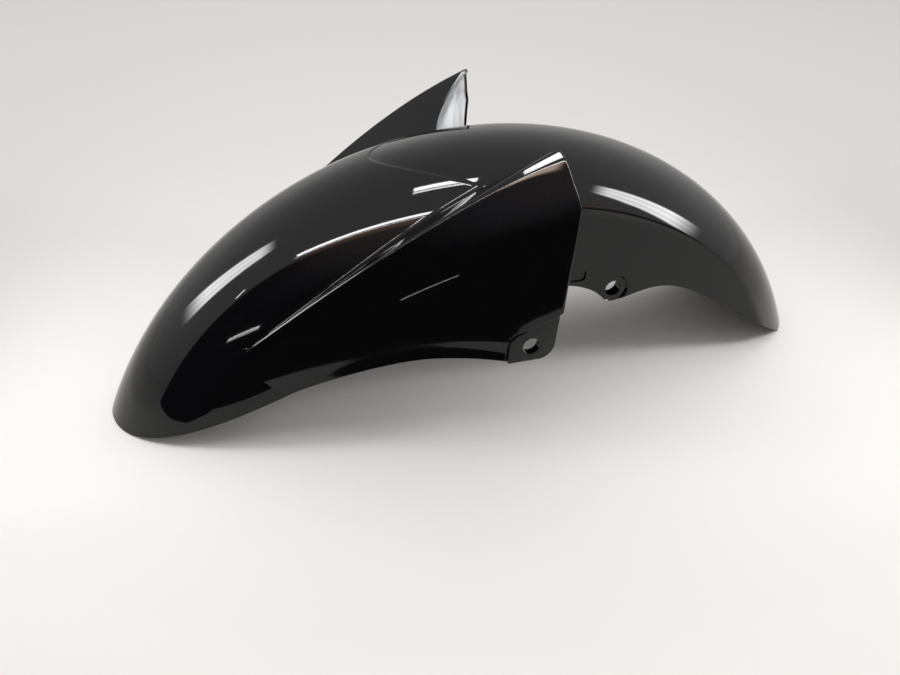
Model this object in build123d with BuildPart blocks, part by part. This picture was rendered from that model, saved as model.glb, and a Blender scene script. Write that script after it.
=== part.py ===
from build123d import *
from math import acos, atan2, cos, degrees, hypot, radians, sin, sqrt
import os

os.makedirs("parts", exist_ok=True)

# Front mudguard of a motorcycle, one moulding. X runs to the rear, Z up.
# The origin is midway between the two rims, on the plane they stand on,
# and the wheel axis is straight below it.

# Arch over the wheel
crown_radius = 315.0
crown_height = 195.0
wall = 3.0
crown_depth = 82.0
crown_fullness = 0.5523
nose_half_width = 65.0
middle_half_width = 78.0
tail_half_width = 72.0

# Flat sides between the fork legs, under a step in the shoulder
side_half_width = 60.0
side_widening = 0.021
shoulder_drop = 41.0
step_slope = 1.0
side_front_x = -50.0
side_blend_length = 70.0

# Hood: the front of the crown, a little proud, ending in a V
hood_step = 0.7
hood_apex_x = -90.0
hood_mid_x = -68.0
hood_mid_half_width = 28.0

# Fork covers, one wing on each side
fork_gap = 19.0
ridge_start_x = -200.0
ridge_start_drop = 54.0
ridge_sink = 0.7
trailing_x = 23.0
trailing_lean = 5.0
peak_setback = 9.0
peak_rise = 20.5
kink_drop = 34.5
ridge_bow = 0.34
ridge_radius = 1.5
peak_radius = 7.0
ledge_slope = 0.25
ledge_end_slope = 0.55
cheek_middle_out = 3.0
cheek_out = 15.0
cheek_start_fall = 10.0
cheek_fall = 33.0
wing_bulge = 1.0
panel_shares = (0.0, 0.2, 0.55, 0.9, 1.0)

# Notch in the rear of the ledge, where the fork leg passes
notch_foot_x = -24.0
notch_foot_half_width = 50.5
notch_mid_x = -12.5
notch_mid_inset = 23.5

# Hem of the wing
hem_sink = 2.4
hem_middle_gap = 14.0
hem_half_width = 108.0
hem_crest_x = -70.0
hem_height = 67.8
hem_front_fall = 40.8
hem_front_power = 1.6
hem_rear_fall = 6.4
hem_tuck = 50.0
hem_roll = 1.5
hem_roll_height = 10.0
lip_height = 5.0

# Lower edge of the body
nose_rim_depth = 27.0
nose_rim_slope = 0.5
fork_edge_x = 20.0
fork_edge_height = 91.0
scallop_x = 125.0
scallop_height = 77.0
tail_edge_x = 175.0
tail_edge_height = 58.0
tail_rim_depth = 24.0

# Fixings
bolt_hole = 13.0
tab_x = -0.2
tab_height = 73.5
tab_inset = 2.0
tab_thickness = 6.0
tab_drop = 12.4
tab_corner = 12.0
tab_front = 16.2
tab_front_rise = 9.0
tab_rear_rise = 28.5
tab_round = 11.0
ear_x = 86.5
ear_height = 80.0
ear_radius = 11.0
ear_front_angle = 220.0
ear_rear_angle = 285.0
ear_boss = 4.0
dish_radius = 12.0
dish_depth = 1.5
dish_slant = 45.0
pocket_x = 54.5
pocket_height = 96.0
pocket_length = 13.0
pocket_width = 9.0
pocket_round = 3.0
pocket_depth = 1.2

# Derived
axis_drop = crown_radius - crown_height
spring_radius = crown_radius - crown_depth
shoulder_radius = crown_radius - shoulder_drop
rim_x = sqrt(crown_radius**2 - axis_drop**2)
rim_angle = degrees(acos(axis_drop / crown_radius))
end_angle = degrees(acos(axis_drop / (crown_radius + crown_depth)))
arch_floor = axis_drop / 2
reach = 2 * crown_radius
blend_start_x = side_front_x - side_blend_length
cover_half_width = middle_half_width + fork_gap
peak_x = trailing_x - peak_setback
peak_height = crown_height + peak_rise
kink_height = peak_height - kink_drop
ridge_start_height = sqrt(crown_radius**2 - ridge_start_x**2) - axis_drop - ridge_start_drop
wing_length = peak_x - ridge_start_x
tab_half_width = hem_half_width - tab_inset
tab_bottom = tab_height - tab_drop
tab_front_x = tab_x - tab_front
tab_rear_x = trailing_x - trailing_lean


def blend(t, start, middle, end):
    # Even curve through three values at t = 0, 0.5 and 1
    return start + (4 * middle - 3 * start - end) * t + 2 * (start + end - 2 * middle) * t * t


def half_width_at(angle):
    return blend((angle / rim_angle + 1) / 2, nose_half_width, middle_half_width, tail_half_width)


def arch_at(x, z):
    # Half width of the arch's outer face at a point of the side view
    rise = max(hypot(x, z + axis_drop) - spring_radius, 0) / crown_depth
    return half_width_at(degrees(atan2(x, z + axis_drop))) * sqrt(1 - rise * rise)


def flat_side_at(x):
    return side_half_width + side_widening * x


def ridge_at(t):
    # Half width and height of the wing's ridge, from its start to the peak
    start = arch_at(ridge_start_x, ridge_start_height) - ridge_sink
    y = start + (cover_half_width - start) * t * (2 - t)
    z = ridge_start_height + (peak_height - ridge_start_height) * (t + ridge_bow * t * (1 - t))
    return y, z


def hem_at(x):
    # Height of the hem, which falls both ways from its crest
    if x < hem_crest_x:
        share = (hem_crest_x - x) / (hem_crest_x - ridge_start_x)
        return hem_height - hem_front_fall * share**hem_front_power
    share = (x - hem_crest_x) / (tab_front_x - hem_crest_x)
    return hem_height - hem_rear_fall * share**2


def radial_plane(angle):
    a = radians(angle)
    return Plane(origin=(0, 0, -axis_drop), x_dir=(0, 1, 0), z_dir=(cos(a), 0, -sin(a)))


def arch(inset):
    # Rounded arch about the wheel axis, its faces moved in by inset
    floor = arch_floor - inset
    depth = crown_depth - inset
    top = spring_radius + depth
    knee = spring_radius + crown_fullness * depth
    with BuildPart() as form:
        for k in range(-2, 3):
            angle = k * (end_angle + inset) / 2
            w = half_width_at(angle) - inset
            with BuildSketch(radial_plane(angle)):
                with BuildLine():
                    Bezier((w, spring_radius), (w, knee), (crown_fullness * w, top), (0, top))
                    Bezier((0, top), (-crown_fullness * w, top), (-w, knee), (-w, spring_radius))
                    Polyline((-w, spring_radius), (-w, floor), (w, floor), (w, spring_radius))
                make_face()
        loft()
    return form.part


def side_relief(inset):
    # What the flat sides take off the arch inside the shoulder radius
    front = (blend_start_x, inset - middle_half_width)
    back = (side_front_x, inset - flat_side_at(side_front_x))
    step_top = shoulder_radius - axis_drop + inset
    with BuildPart() as form:
        with BuildSketch(Plane.XY.offset(-axis_drop)):
            with BuildLine():
                Spline(front, back, tangents=((1, 0), (1, -side_widening)))
                Polyline(
                    back,
                    (reach, inset - flat_side_at(reach)),
                    (reach, -reach),
                    (blend_start_x, -reach),
                    front,
                )
            make_face()
        extrude(amount=reach)
        with BuildSketch(Plane.YZ):
            with BuildLine():
                Polyline(
                    (0, -axis_drop),
                    (0, step_top - step_slope * side_half_width),
                    (-reach, step_top + step_slope * (reach - side_half_width)),
                    (-reach, -axis_drop),
                    close=True,
                )
            make_face()
        revolve(axis=Axis((0, 0, -axis_drop), (0, 1, 0)), mode=Mode.INTERSECT)
        mirror(about=Plane.XZ)
    return form.part


def wing(inset):
    # Near fork cover as a filled form, its outer faces moved in by inset
    # and its hidden ones out by as much
    middle_x = ridge_start_x + wing_length / 2
    hem_start = arch_at(ridge_start_x, hem_at(ridge_start_x)) - hem_sink
    hem_middle = arch_at(middle_x, hem_at(middle_x)) + hem_middle_gap
    root_y = inset - side_half_width / 2
    base_z = -axis_drop - inset
    spread = (1 + 2 * inset / wing_length) / 8
    with BuildPart() as form:
        for k in range(-5, 6, 2):
            t = 1 / 2 + k * spread
            s = max(t, 0)
            x = ridge_start_x + t * wing_length
            slope = ledge_slope + (ledge_end_slope - ledge_slope) * (2 * t - 1) ** 2
            ledge_run = hypot(1, slope)
            ridge_y, ridge_z = ridge_at(t)
            ridge_y = inset - ridge_y
            ridge_z = ridge_z - inset * (slope + ledge_run)
            cheek_y = ridge_y - blend(s, 0, cheek_middle_out, cheek_out)
            cheek_z = ridge_z - cheek_start_fall - (cheek_fall - cheek_start_fall) * s
            hem_y = inset - blend(t, hem_start, hem_middle, hem_half_width) + hem_tuck * (s - t)
            lip_z = hem_at(x) + lip_height
            roll_y = hem_y - hem_roll * s
            roll_z = lip_z + hem_roll_height
            mid_y = (cheek_y + roll_y) / 2 - wing_bulge * s
            mid_z = (cheek_z + roll_z) / 2
            r = ridge_radius + (peak_radius - ridge_radius) * s * s
            cheek_run = hypot(cheek_y - ridge_y, cheek_z - ridge_z)
            ledge_end = (ridge_y + r / ledge_run, ridge_z - slope * r / ledge_run)
            cheek_start = (
                ridge_y + (cheek_y - ridge_y) * r / cheek_run,
                ridge_z + (cheek_z - ridge_z) * r / cheek_run,
            )
            root_z = ridge_z - slope * (root_y - ridge_y)
            with BuildSketch(Plane.YZ.offset(x)):
                with BuildLine():
                    Line((root_y, root_z), ledge_end)
                    Bezier(ledge_end, (ridge_y, ridge_z), cheek_start)
                    add(
                        Edge.make_spline(
                            [cheek_start, (cheek_y, cheek_z), (mid_y, mid_z), (roll_y, roll_z), (hem_y, lip_z)],
                            tangents=[(cheek_y - ridge_y, cheek_z - ridge_z), (0, -1)],
                            parameters=panel_shares,
                        )
                    )
                    Polyline((hem_y, lip_z), (hem_y, base_z), (root_y, base_z), (root_y, root_z))
                make_face()
        loft()
    return form.part


with BuildPart() as body_outer:
    add(arch(0))
    add(side_relief(0), mode=Mode.SUBTRACT)

with BuildPart() as body_inner:
    add(arch(wall))
    add(side_relief(wall), mode=Mode.SUBTRACT)

with BuildPart() as hood:
    add(arch(-hood_step))
    notch_foot = (notch_foot_x, -notch_foot_half_width)
    # The hood's side edge lies under the ledge, midway to the ridge
    hood_end_x = 2 * hood_apex_x - hood_mid_x
    hood_side = (notch_foot_half_width + ridge_at((hood_end_x - ridge_start_x) / wing_length)[0]) / 2
    with BuildSketch(Plane.XY.offset(-axis_drop)):
        with BuildLine():
            Spline((hood_apex_x, 0), (hood_mid_x, -hood_mid_half_width), notch_foot)
            Polyline(
                notch_foot,
                (hood_end_x, -hood_side),
                (hood_end_x, -reach),
                (-reach, -reach),
                (-reach, 0),
                (hood_apex_x, 0),
            )
        make_face()
        mirror(about=Plane.XZ)
    extrude(amount=reach, mode=Mode.INTERSECT)

with BuildPart() as shell:
    add(body_outer.part)
    add(hood.part)
    add(body_inner.part, mode=Mode.SUBTRACT)
    # Lower edge seen from the side: nose, fork zone, ear, scallop, tail
    nose_end = (nose_rim_depth - rim_x, 0)
    tail_end = (rim_x - tail_rim_depth, 0)
    with BuildSketch(Plane.XZ):
        with BuildLine():
            ear_arc = CenterArc((ear_x, ear_height), ear_radius, ear_front_angle, ear_rear_angle - ear_front_angle)
            Spline(
                nose_end,
                (ridge_start_x, hem_at(ridge_start_x)),
                (blend_start_x, hem_at(blend_start_x)),
                (fork_edge_x, fork_edge_height),
                ear_arc @ 0,
                tangents=((1, nose_rim_slope), ear_arc % 0),
            )
            Spline(
                ear_arc @ 1,
                (scallop_x, scallop_height),
                (tail_edge_x, tail_edge_height),
                tail_end,
                tangents=(ear_arc % 1, (tail_end[0] - tail_edge_x, -tail_edge_height)),
            )
            Polyline(tail_end, (reach, 0), (reach, reach), (-reach, reach), (-reach, 0), nose_end)
        make_face()
    extrude(amount=reach, both=True, mode=Mode.INTERSECT)

with BuildPart() as wing_inner:
    # Hollow of the wing, less a thicker wall that carries the tab
    add(wing(wall))
    with BuildSketch(Plane.XZ.offset(tab_half_width - tab_thickness)):
        with BuildLine():
            Polyline(
                (tab_front_x - wall, tab_bottom - wall),
                (tab_front_x - wall, tab_height + tab_front_rise + wall),
                (trailing_x + wall, tab_height + tab_rear_rise + wall),
                (trailing_x + wall, tab_bottom - wall),
                close=True,
            )
        make_face()
    extrude(amount=reach, mode=Mode.SUBTRACT)

with BuildPart() as cover:
    add(wing(0))
    add(wing_inner.part, mode=Mode.SUBTRACT)
    # The tab, a flat face set into the panel
    with BuildSketch(Plane.XZ.offset(tab_half_width - tab_thickness)) as tab_outline:
        with BuildLine():
            FilletPolyline(
                (tab_front_x, tab_bottom - wall),
                (tab_front_x, tab_height + tab_front_rise),
                (trailing_x + wall, tab_height + tab_rear_rise),
                radius=tab_round,
            )
            Polyline(
                (trailing_x + wall, tab_height + tab_rear_rise),
                (trailing_x + wall, tab_bottom - wall),
                (tab_front_x, tab_bottom - wall),
            )
        make_face()
    extrude(amount=tab_thickness)
    with BuildSketch(Plane.XZ.offset(tab_half_width)):
        add(tab_outline.sketch_local)
    extrude(amount=reach, mode=Mode.SUBTRACT)
    # Outline seen from the side: hem, tab, trailing edge up to the peak
    hem_from = nose_rim_depth - rim_x
    hem_step = (tab_front_x - hem_from) / 6
    hem_stations = [hem_from + k * hem_step for k in range(7)]
    with BuildSketch(Plane.XZ):
        with BuildLine():
            hem = Spline(*[(x, hem_at(x)) for x in hem_stations])
            Polyline(hem @ 1, (tab_rear_x - tab_corner, tab_bottom))
            JernArc((tab_rear_x - tab_corner, tab_bottom), (1, 0), tab_corner, 90)
            Polyline(
                (tab_rear_x, tab_bottom + tab_corner),
                (trailing_x, kink_height),
                (peak_x, peak_height),
                (peak_x - peak_setback, peak_height + kink_drop),
                (-reach, peak_height + kink_drop),
                (-reach, hem_at(hem_from)),
                hem @ 0,
            )
        make_face()
    extrude(amount=reach, both=True, mode=Mode.INTERSECT)
    # Notch for the fork leg in the rear of the ledge
    notch_peak = (peak_x, wall - cover_half_width)
    with BuildSketch(Plane.XY.offset(tab_height)):
        with BuildLine():
            Spline(notch_peak, (notch_mid_x, notch_mid_inset - cover_half_width), notch_foot)
            Polyline(
                notch_foot,
                (notch_foot_x, -wall),
                (reach, -wall),
                (reach, wall - cover_half_width),
                notch_peak,
            )
        make_face()
    extrude(amount=reach, mode=Mode.SUBTRACT)
    add(body_inner.part, mode=Mode.SUBTRACT)

with BuildPart() as mudguard:
    add(shell.part)
    add(cover.part)
    mirror(cover.part, about=Plane.XZ)
    ear_face = flat_side_at(ear_x)
    dish_floor = dish_radius - dish_depth
    for side in (1, -1):
        # Boss behind the ear, the dish in front of it and a shallow pocket
        with BuildSketch(Plane.XZ.offset(side * (ear_face - wall - ear_boss))):
            with Locations((ear_x, ear_height)):
                Circle(ear_radius)
        extrude(amount=side * (ear_boss + wall / 2))
        with BuildSketch(Plane.XZ.offset(side * (ear_face - dish_depth))):
            with Locations((ear_x, ear_height)):
                Circle(dish_floor)
        extrude(amount=side * 2 * dish_depth, taper=-dish_slant, mode=Mode.SUBTRACT)
        with BuildSketch(Plane.XZ.offset(side * (flat_side_at(pocket_x) - pocket_depth))):
            with Locations((pocket_x, pocket_height)):
                RectangleRounded(pocket_length, pocket_width, pocket_round)
        extrude(amount=side * 2 * pocket_depth, mode=Mode.SUBTRACT)
    # Bolt holes through both sides
    with BuildSketch(Plane.XZ):
        with Locations((tab_x, tab_height), (ear_x, ear_height)):
            Circle(bolt_hole / 2)
    extrude(amount=reach, both=True, mode=Mode.SUBTRACT)

mudguard.part.label = "mudguard"
export_step(mudguard.part, "parts/mudguard.step")
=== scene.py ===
import bmesh
import bpy
import math
import numpy as np
from mathutils import Matrix, Vector


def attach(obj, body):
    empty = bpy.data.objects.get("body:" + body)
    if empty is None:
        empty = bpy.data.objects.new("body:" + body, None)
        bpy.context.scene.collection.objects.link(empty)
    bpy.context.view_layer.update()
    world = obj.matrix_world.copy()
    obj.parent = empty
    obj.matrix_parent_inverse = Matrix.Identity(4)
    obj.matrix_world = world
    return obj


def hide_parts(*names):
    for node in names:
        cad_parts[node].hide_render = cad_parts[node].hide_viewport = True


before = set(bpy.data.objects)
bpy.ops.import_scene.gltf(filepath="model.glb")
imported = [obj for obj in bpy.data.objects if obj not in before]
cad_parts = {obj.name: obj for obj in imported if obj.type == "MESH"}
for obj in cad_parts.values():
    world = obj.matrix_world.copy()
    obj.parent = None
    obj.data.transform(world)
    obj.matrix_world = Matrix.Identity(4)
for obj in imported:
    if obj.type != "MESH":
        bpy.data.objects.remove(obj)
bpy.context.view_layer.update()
mm = 0.001
print("frame loaded")


# gloss black plastic
gloss = {
    "black": (0.0016, 0.0016, 0.0019, 1),
    "ior": 1.43,
    "mirror": 0.4,       # specular level, a little under plain plastic
    "roughness": 0.045,
    "smear": 0.05,       # how much handling marks dull the gloss
    "peelSize": 900.0,   # cells of the orange peel per metre
    "peelDepth": 0.00002,
    "peelStrength": 0.1,
    "dust": (0.30, 0.29, 0.27, 1),
    "bare": (0.88, 0.90, 0.92, 1),  # unpainted inside of the fork covers
    "scuffed": (0.42, 0.43, 0.45, 1),
    "bareRoughness": 0.45,
}
handling = {
    "dustSize": 2600.0,         # cells per metre
    "speckReach": 0.13,         # how far a speck reaches in its cell
    "speckFrom": 0.94,          # cells with a lower draw stay clean
    "wipeTurn": (0.3, 0.5, 0.9),
    "wipeScale": (14, 60, 30),  # long wipes
    "wipeDetail": 5.0,
    "wipeSpan": (0.45, 0.8),
}
bareFace = {
    "from": 82.0,               # half width where the inner faces begin
    "fade": 10.0,
    "inward": 0.3,
    "upTo": 0.4,                # faces that look up more than this are painted
    "upFade": 0.3,
    "paintedRim": 2.0,
    "rimFade": 1.5,
    "scuffScale": (150, 150, 14),  # long upright streaks
    "scuffDetail": 3.0,
    "scuffSpan": (0.42, 0.72),
}
rimLine = {"x": 23.0, "kink": 181.0, "over": 0.261, "under": 0.046}  # trailing edge of the covers


def feed(slot, value):
    # gives a node's input a plain value, another node's output or a Flow
    if isinstance(value, Flow):
        value = value.socket
    if isinstance(value, bpy.types.NodeSocket):
        slot.id_data.links.new(value, slot)
    else:
        slot.default_value = value


def node(tree, kind, x, y, inputs=None, **settings):
    made = tree.nodes.new(kind)
    made.location = (x, y)
    for key, value in settings.items():
        setattr(made, key, value)
    for key, value in (inputs or {}).items():
        feed(made.inputs[key], value)
    return made


def shaded(name, inputs):
    # a new material with its node tree and its shader
    made = bpy.data.materials.new(name)
    made.use_nodes = True
    shader = made.node_tree.nodes["Principled BSDF"]
    for key, value in inputs.items():
        feed(shader.inputs[key], value)
    return made, made.node_tree, shader


def mix(tree, x, y, factor, a, b, kind="RGBA"):
    inputs = {"Factor": factor, "A": a, "B": b}
    return node(tree, "ShaderNodeMix", x, y, inputs, data_type=kind).outputs["Result"]


class Flow:
    # a node output that can be summed, so the rules below read as sums
    def __init__(self, socket):
        self.socket = socket

    def math(self, operation, *others):
        made = self.socket.id_data.nodes.new("ShaderNodeMath")
        made.operation = operation
        for slot, value in zip(made.inputs, (self, *others)):
            feed(slot, value)
        return Flow(made.outputs[0])

    def __add__(self, other):
        return self.math("ADD", other)

    def __sub__(self, other):
        return self.math("SUBTRACT", other)

    def __mul__(self, other):
        return self.math("MULTIPLY", other)

    def __truediv__(self, other):
        return self.math("DIVIDE", other)

    def below(self, other):
        return self.math("MINIMUM", other)

    def above(self, other):
        return self.math("MAXIMUM", other)

    def smooth(self):
        held = self.above(0.0).below(1.0)
        return held * held * (held * -2.0 + 3.0)


def maskGroup(name, inputs, outputs):
    # an empty node group for masks, with its input and output nodes
    tree = bpy.data.node_groups.new(name, "ShaderNodeTree")
    for title, kind in inputs.items():
        tree.interface.new_socket(name=title, in_out="INPUT", socket_type=kind)
    for title in outputs:
        tree.interface.new_socket(name=title, in_out="OUTPUT", socket_type="NodeSocketFloat")
    return tree, node(tree, "NodeGroupInput", -1100, 0), node(tree, "NodeGroupOutput", 500, 0)


def streaks(tree, position, turn, scale, detail, span):
    # noise drawn out into streaks
    inputs = {"Vector": position, "Rotation": turn, "Scale": scale}
    drawn = node(tree, "ShaderNodeMapping", -700, -300, inputs)
    inputs = {"Vector": drawn.outputs["Vector"], "Scale": 1.0, "Detail": detail}
    noise = node(tree, "ShaderNodeTexNoise", -450, -300, inputs)
    inputs = {"Value": noise.outputs["Fac"], "From Min": span[0], "From Max": span[1]}
    return node(tree, "ShaderNodeMapRange", -200, -300, inputs).outputs["Result"]


def dustAndSmears():
    # masks that any glossy moulding can share: loose dust and wiped smears
    inputs = {"Position": "NodeSocketVector", "Dust Cells": "NodeSocketFloat"}
    tree, given, result = maskGroup("dustAndSmears", inputs, ("Dust", "Smear"))
    position = given.outputs["Position"]
    inputs = {"Vector": position, "Scale": given.outputs["Dust Cells"]}
    specks = node(tree, "ShaderNodeTexVoronoi", -600, 200, inputs, feature="F1")
    draw = node(tree, "ShaderNodeSeparateColor", -350, 40, {"Color": specks.outputs["Color"]})
    small = Flow(specks.outputs["Distance"]).math("LESS_THAN", handling["speckReach"])
    few = Flow(draw.outputs["Red"]).math("GREATER_THAN", handling["speckFrom"])
    feed(result.inputs["Dust"], small * few)
    cloth = (handling[k] for k in ("wipeTurn", "wipeScale", "wipeDetail", "wipeSpan"))
    feed(result.inputs["Smear"], streaks(tree, position, *cloth))
    return tree


def bareInside():
    # masks for the inner faces of the fork covers and for the scuffs that run down them
    inputs = {"Position": "NodeSocketVector", "Normal": "NodeSocketVector"}
    tree, given, result = maskGroup("bareInside", inputs, ("Bare", "Scuff"))
    position = given.outputs["Position"]
    place = node(tree, "ShaderNodeSeparateXYZ", -900, 150, {"Vector": position})
    facing = node(tree, "ShaderNodeSeparateXYZ", -900, -50, {"Vector": given.outputs["Normal"]})
    x, y, z = (Flow(socket) for socket in place.outputs)
    beyond = (y.math("ABSOLUTE") - bareFace["from"] * mm) / (bareFace["fade"] * mm)
    inward = (Flow(facing.outputs["Y"]) * y.math("SIGN") + bareFace["inward"]) / -bareFace["inward"]
    under = (Flow(facing.outputs["Z"]) - bareFace["upTo"]) / -bareFace["upFade"]
    past = z - rimLine["kink"] * mm
    rim = past.above(0.0) * -rimLine["over"] + past.below(0.0) * rimLine["under"] + rimLine["x"] * mm
    clear = (rim - x - bareFace["paintedRim"] * mm) / (bareFace["rimFade"] * mm)
    bare = beyond.smooth() * inward.smooth() * under.smooth() * clear.smooth()
    feed(result.inputs["Bare"], bare)
    scuffs = (bareFace[k] for k in ("scuffScale", "scuffDetail", "scuffSpan"))
    feed(result.inputs["Scuff"], streaks(tree, position, (0, 0, 0), *scuffs))
    return tree


def glossBlackPlastic(marks, inside):
    inputs = {"IOR": gloss["ior"], "Specular IOR Level": gloss["mirror"]}
    made, tree, shader = shaded("glossBlackPlastic", inputs)
    place = node(tree, "ShaderNodeTexCoord", -1300, 0).outputs["Object"]
    normal = node(tree, "ShaderNodeNewGeometry", -1300, 500).outputs["Normal"]
    inputs = {"Position": place, "Dust Cells": handling["dustSize"]}
    wear = node(tree, "ShaderNodeGroup", -1000, 150, inputs, node_tree=marks).outputs
    inputs = {"Position": place, "Normal": normal}
    unpainted = node(tree, "ShaderNodeGroup", -1000, 500, inputs, node_tree=inside).outputs

    black = mix(tree, -600, 300, wear["Dust"], gloss["black"], gloss["dust"])
    pale = mix(tree, -600, 600, unpainted["Scuff"], gloss["bare"], gloss["scuffed"])
    feed(shader.inputs["Base Color"], mix(tree, -350, 450, unpainted["Bare"], black, pale))

    dull = (Flow(wear["Smear"]) * gloss["smear"] + gloss["roughness"]).above(wear["Dust"])
    satin = mix(tree, -150, 50, unpainted["Bare"], dull, gloss["bareRoughness"], "FLOAT")
    feed(shader.inputs["Roughness"], satin)

    inputs = {"Vector": place, "Scale": gloss["peelSize"], "Detail": 1.0}
    peel = node(tree, "ShaderNodeTexNoise", -900, -250, inputs).outputs["Fac"]
    inputs = {"Height": peel, "Strength": gloss["peelStrength"], "Distance": gloss["peelDepth"]}
    feed(shader.inputs["Normal"], node(tree, "ShaderNodeBump", -500, -250, inputs).outputs["Normal"])
    return made


glossBlack = glossBlackPlastic(dustAndSmears(), bareInside())
print("gloss black plastic made")


# arch over the wheel, all sizes in millimetres
arch = {
    "crownRadius": 315.0,
    "axisDrop": 120.0,      # the wheel axis below the plane of the rims
    "crownDepth": 82.0,
    "noseHalfWidth": 65.0,
    "middleHalfWidth": 78.0,
    "tailHalfWidth": 72.0,
    "sideHalfWidth": 60.0,
    "sideWidening": 0.021,
    "shoulderDrop": 41.0,
    "sideFront": -50.0,
    "sideBlend": 70.0,
    "edgeRound": 3.0,
    "cornerRound": 4.0,
    "hoodStep": 0.7,
    "creaseApex": -90.0,
    "creaseFoot": 50.5,
    "creaseWidth": 2.0,
    "floorRadius": 192.0,
    "endAngle": 1.26,
}
archGrid = {"rows": 201, "columns": 155, "fineRows": 3, "quarterRadius": 80.0}
archBands = {"crown": (70.0, 30), "shoulder": (22.0, 27)}  # width along the section, columns
creaseThrough = ((-68.0, 28.0), (-24.0, 50.5))  # plan points after the apex
wall = 3.0
weld = 0.004  # points nearer than this are one

springRadius = arch["crownRadius"] - arch["crownDepth"]
rimAngle = math.acos(arch["axisDrop"] / arch["crownRadius"])
rimX = math.sqrt(arch["crownRadius"] ** 2 - arch["axisDrop"] ** 2)


def blend(t, start, middle, end):
    # even curve through three values at t = 0, 0.5 and 1
    return (t * (t * 2 - 3) + 1) * start + (t - t * t) * 4 * middle + t * (t * 2 - 1) * end


def creaseCurve():
    # x = apex + a y + b y^2 through the two points
    (x1, y1), (x2, y2) = creaseThrough
    rows = np.array(((y1, y1 * y1), (y2, y2 * y2)))
    return np.linalg.solve(rows, np.array((x1, x2)) - arch["creaseApex"])


def archTree():
    tree = bpy.data.node_groups.new("archSkin", "GeometryNodeTree")
    face = tree.interface
    for title in ("rows", "columns"):
        face.new_socket(name=title, in_out="INPUT", socket_type="NodeSocketInt")
    for title in (*arch, "inset", "creaseLean", "creaseBend"):
        face.new_socket(name=title, in_out="INPUT", socket_type="NodeSocketFloat")
    face.new_socket(name="finish", in_out="INPUT", socket_type="NodeSocketMaterial")
    face.new_socket(name="Geometry", in_out="OUTPUT", socket_type="NodeSocketGeometry")
    given = node(tree, "NodeGroupInput", 0, 0)
    result = node(tree, "NodeGroupOutput", 1600, 0)
    size = {s.name: Flow(s) for s in given.outputs if s.name}

    inputs = {"Size X": 2.0, "Size Y": 2.0, "Vertices X": size["rows"], "Vertices Y": size["columns"]}
    grid = node(tree, "GeometryNodeMeshGrid", 200, 300, inputs)
    position = node(tree, "GeometryNodeInputPosition", 200, 0).outputs[0]
    where = node(tree, "ShaderNodeSeparateXYZ", 400, 0, {"Vector": position})
    along, across = (Flow(where.outputs[k]) for k in "XY")

    # way down the section, with narrow columns at the shoulder
    spring = size["crownRadius"] - size["crownDepth"]
    depth = size["crownDepth"] - size["inset"]
    shoulder = size["crownRadius"] - size["shoulderDrop"]
    quarter = math.pi / 2 * archGrid["quarterRadius"]
    half = (archGrid["columns"] - 1) / 2
    (crownBand, crownColumns), (shoulderBand, shoulderColumns) = archBands.values()
    column = across.math("ABSOLUTE") * half
    last = half - crownColumns - shoulderColumns
    lowerBand = spring * -1.0 + size["floorRadius"]
    lowerBand = lowerBand * -1.0 + (quarter - crownBand - shoulderBand)
    down = column.below(crownColumns) * (crownBand / crownColumns)
    down = down + (column - crownColumns).above(0.0).below(shoulderColumns) * (shoulderBand / shoulderColumns)
    down = down + (column - (crownColumns + shoulderColumns)).above(0.0) / last * lowerBand
    turn = down.below(quarter) * (math.pi / 2 / quarter)
    sine = turn.math("SINE")
    cosine = turn.math("COSINE")

    # rows run from the nose to the crease of the hood and on to the tail
    creaseY = (size["middleHalfWidth"] * sine).below(size["creaseFoot"])
    creaseX = size["creaseApex"] + creaseY * size["creaseLean"] + creaseY * creaseY * size["creaseBend"]
    creaseAngle = (creaseX / (spring + size["crownDepth"] * cosine)).math("ARCSINE")
    fine = archGrid["fineRows"] / ((archGrid["rows"] - 1) / 2)
    creaseHalf = size["creaseWidth"] / size["crownRadius"] / 2.0
    atCrease = (along / fine).above(-1.0).below(1.0)
    toTail = (along - fine).above(0.0) / (1 - fine)
    toNose = (along * -1.0 - fine).above(0.0) / (1 - fine)
    angle = creaseAngle + atCrease * creaseHalf
    angle = angle + (size["endAngle"] - creaseAngle - creaseHalf) * toTail
    angle = angle - (size["endAngle"] + creaseAngle - creaseHalf) * toNose

    # the section: a quarter ellipse and a wall, less the flat side
    hood = size["hoodStep"] * (atCrease * -0.5 + 0.5).smooth()
    radius = spring + (depth + hood) * cosine - (down - quarter).above(0.0)
    share = angle * (0.5 / rimAngle) + 0.5
    width = blend(share, size["noseHalfWidth"], size["middleHalfWidth"], size["tailHalfWidth"])
    full = (width - size["inset"] + hood) * sine
    x = radius * angle.math("SINE")
    flat = size["sideHalfWidth"] + size["sideWidening"] * x
    ease = ((x - size["sideFront"] + size["sideBlend"]) / size["sideBlend"]).smooth()
    flat = size["middleHalfWidth"] + (flat - size["middleHalfWidth"]) * ease - size["inset"]
    step = size["sideHalfWidth"] + radius - shoulder - size["inset"]
    side = flat.math("SMOOTH_MAX", step, size["cornerRound"])
    y = full.math("SMOOTH_MIN", side, size["edgeRound"]) * across.math("SIGN")
    z = radius * angle.math("COSINE") - size["axisDrop"]

    point = node(tree, "ShaderNodeCombineXYZ", 800, 0, {"X": x * mm, "Y": y * mm, "Z": z * mm})
    inputs = {"Geometry": grid.outputs["Mesh"], "Position": point.outputs[0]}
    place = node(tree, "GeometryNodeSetPosition", 1000, 0, inputs)
    real = node(tree, "GeometryNodeRealizeInstances", 1200, 0, {"Geometry": place.outputs[0]})
    inputs = {"Geometry": real.outputs[0], "Material": given.outputs["finish"]}
    feed(result.inputs["Geometry"], node(tree, "GeometryNodeSetMaterial", 1400, 0, inputs).outputs[0])
    return tree


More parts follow.
